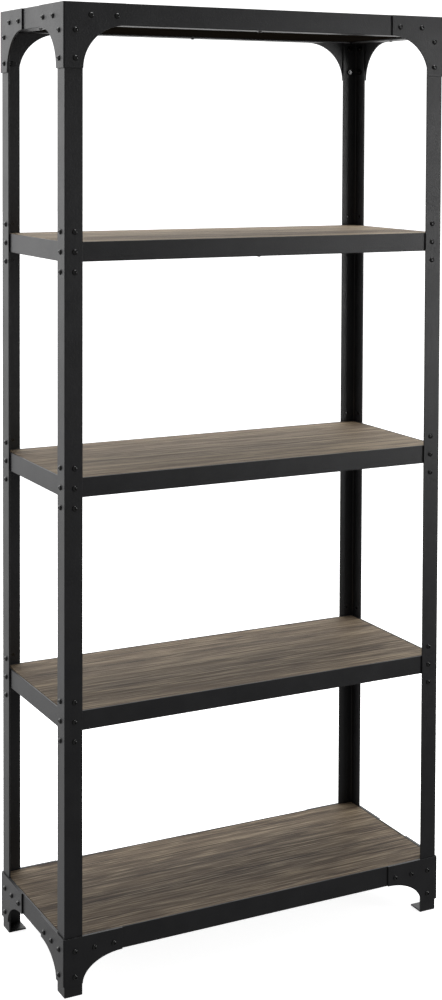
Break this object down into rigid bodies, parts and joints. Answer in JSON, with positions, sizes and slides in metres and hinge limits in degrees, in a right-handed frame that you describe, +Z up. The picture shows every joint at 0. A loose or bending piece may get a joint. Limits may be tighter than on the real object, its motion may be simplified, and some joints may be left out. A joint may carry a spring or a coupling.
{
  "type": "bookcase with adjustable shelves",
  "caption": "Tall open bookcase with a bolted black angle-steel frame, corner gussets and thick weathered wooden shelves whose height can be changed.",
  "frame": {"origin": "middle of the footprint, on the floor", "axes": "+X to the right seen from the front, +Y to the back, +Z up along the posts"},
  "size_m": [0.8126, 0.3426, 1.8],
  "materials": {
    "frame_steel": "fine-textured satin black powder coat",
    "gusset_steel": "fine-textured satin black powder coat",
    "fasteners": "black button-head bolts, nuts and screws, satin",
    "wood": "brushed, weathered grey-brown, matt"
  },
  "bodies": {
    "frame": {"base_board": "wood", "base_board_screws": "fasteners", "base_gusset_back_left": "gusset_steel", "base_gusset_back_right": "gusset_steel", "base_gusset_bolts": "fasteners", "base_gusset_front_left": "gusset_steel", "base_gusset_front_right": "gusset_steel", "base_gusset_nuts": "fasteners", "base_rail_back": "frame_steel", "base_rail_front": "frame_steel", "base_rail_left": "frame_steel", "base_rail_right": "frame_steel", "foot_plate_back_left": "frame_steel", "foot_plate_back_right": "frame_steel", "foot_plate_front_left": "frame_steel", "foot_plate_front_right": "frame_steel", "post_back_left": "frame_steel", "post_back_right": "frame_steel", "post_front_left": "frame_steel", "post_front_right": "frame_steel", "shelf_four_post_bolts": "fasteners", "shelf_three_post_bolts": "fasteners", "shelf_two_post_bolts": "fasteners", "top_board": "wood", "top_board_screws": "fasteners", "top_gusset_back_left": "gusset_steel", "top_gusset_back_right": "gusset_steel", "top_gusset_bolts": "fasteners", "top_gusset_front_left": "gusset_steel", "top_gusset_front_right": "gusset_steel", "top_gusset_nuts": "fasteners", "top_rail_back": "frame_steel", "top_rail_front": "frame_steel", "top_rail_left": "frame_steel", "top_rail_right": "frame_steel"},
    "shelf_two": {"shelf_two_board": "wood", "shelf_two_board_screws": "fasteners", "shelf_two_nuts": "fasteners", "shelf_two_rail_back": "frame_steel", "shelf_two_rail_front": "frame_steel", "shelf_two_rail_left": "frame_steel", "shelf_two_rail_right": "frame_steel"},
    "shelf_three": {"shelf_three_board": "wood", "shelf_three_board_screws": "fasteners", "shelf_three_nuts": "fasteners", "shelf_three_rail_back": "frame_steel", "shelf_three_rail_front": "frame_steel", "shelf_three_rail_left": "frame_steel", "shelf_three_rail_right": "frame_steel"},
    "shelf_four": {"shelf_four_board": "wood", "shelf_four_board_screws": "fasteners", "shelf_four_nuts": "fasteners", "shelf_four_rail_back": "frame_steel", "shelf_four_rail_front": "frame_steel", "shelf_four_rail_left": "frame_steel", "shelf_four_rail_right": "frame_steel"}
  },
  "joints": [
    {"name": "shelf_two_height", "type": "slide", "parent": "frame", "child": "shelf_two", "axis": [0, 0, 1], "range_m": [-0.036, 0.036]},
    {"name": "shelf_three_height", "type": "slide", "parent": "frame", "child": "shelf_three", "axis": [0, 0, 1], "range_m": [-0.036, 0.036]},
    {"name": "shelf_four_height", "type": "slide", "parent": "frame", "child": "shelf_four", "axis": [0, 0, 1], "range_m": [-0.036, 0.036]}
  ]
}
